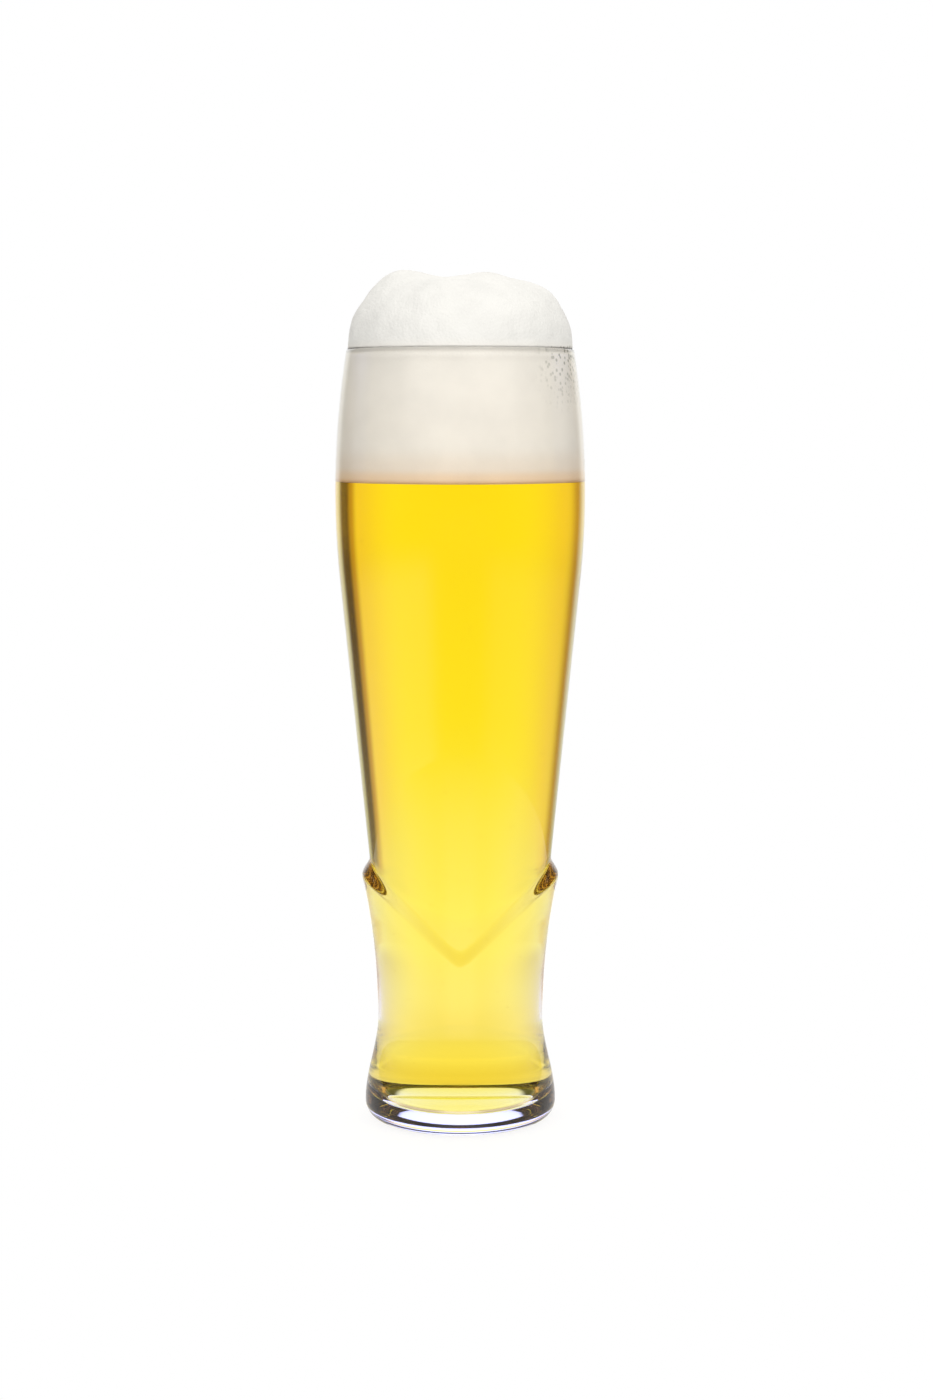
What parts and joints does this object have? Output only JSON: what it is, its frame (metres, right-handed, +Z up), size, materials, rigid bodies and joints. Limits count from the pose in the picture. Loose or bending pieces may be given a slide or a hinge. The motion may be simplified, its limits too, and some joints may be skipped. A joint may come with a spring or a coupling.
{
  "type": "beer glass",
  "caption": "Tall tapered beer glass with a V-notched flared collar, narrow waist and round foot, filled with clear pale beer under a foam head; stands on its base.",
  "frame": {"origin": "centre of the base, on the plane that the glass stands on", "axes": "+Z up along the glass's axis, -Y towards the viewer of the picture, where one V of the collar faces, +X to the viewer's right"},
  "size_m": [0.0722, 0.0722, 0.2475],
  "materials": {
    "clear_glass": "polished",
    "pale_beer": "gloss",
    "beer_foam": "matte"
  },
  "bodies": {
    "vessel": {"glass": "clear_glass"},
    "drink": {"beer": "pale_beer", "foam_head": "beer_foam"}
  },
  "joints": [
    {"name": "drink_swirl", "type": "hinge", "parent": "vessel", "child": "drink", "pos_m": [0, 0, 0.1], "axis": [0, 0, 1], "continuous": true}
  ]
}
